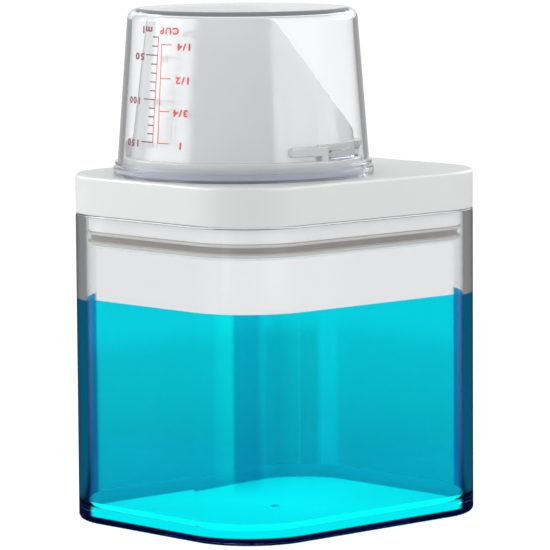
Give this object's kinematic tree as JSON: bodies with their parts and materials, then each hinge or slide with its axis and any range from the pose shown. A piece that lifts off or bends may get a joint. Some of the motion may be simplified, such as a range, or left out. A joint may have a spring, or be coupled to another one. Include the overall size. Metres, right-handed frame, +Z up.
{
  "type": "detergent dispenser",
  "caption": "Clear rounded-rectangle jar of liquid detergent with a sealed plug-in lid, a slant-mouthed pouring spout and a clear measuring cup as its cap.",
  "frame": {"origin": "under the middle of the jar's base, on the surface it stands on", "axes": "+Z up; X across the narrower sides of the jar; the spout and cup stand off-centre towards -Y"},
  "size_m": [0.09, 0.1076, 0.1558],
  "materials": {
    "clear_plastic": "clear, glossy injection-moulded wall",
    "cup_plastic": "clear, glossy thin moulded wall with a printed scale",
    "white_plastic": "satin white moulded polypropylene",
    "seal_silicone": "soft matte translucent silicone",
    "detergent": "clear cyan-blue liquid"
  },
  "bodies": {
    "jar": {"jar": "clear_plastic", "detergent": "detergent"},
    "lid": {"lid": "white_plastic", "lid_seal": "seal_silicone", "spout": "white_plastic"},
    "cup_ring": {"cup_seal": "seal_silicone"},
    "cup": {"measuring_cup": "cup_plastic"}
  },
  "joints": [
    {"name": "lid_lift", "type": "slide", "parent": "jar", "child": "lid", "axis": [0, 0, 1], "range_m": [0, 0.03]},
    {"name": "cup_lift", "type": "slide", "parent": "lid", "child": "cup_ring", "axis": [0, 0, 1], "range_m": [0, 0.056]},
    {"name": "cup_turn", "type": "hinge", "parent": "cup_ring", "child": "cup", "pos_m": [0, -0.0128, 0.10575], "axis": [0, 0, 1], "range_deg": [0, 21.3]}
  ]
}
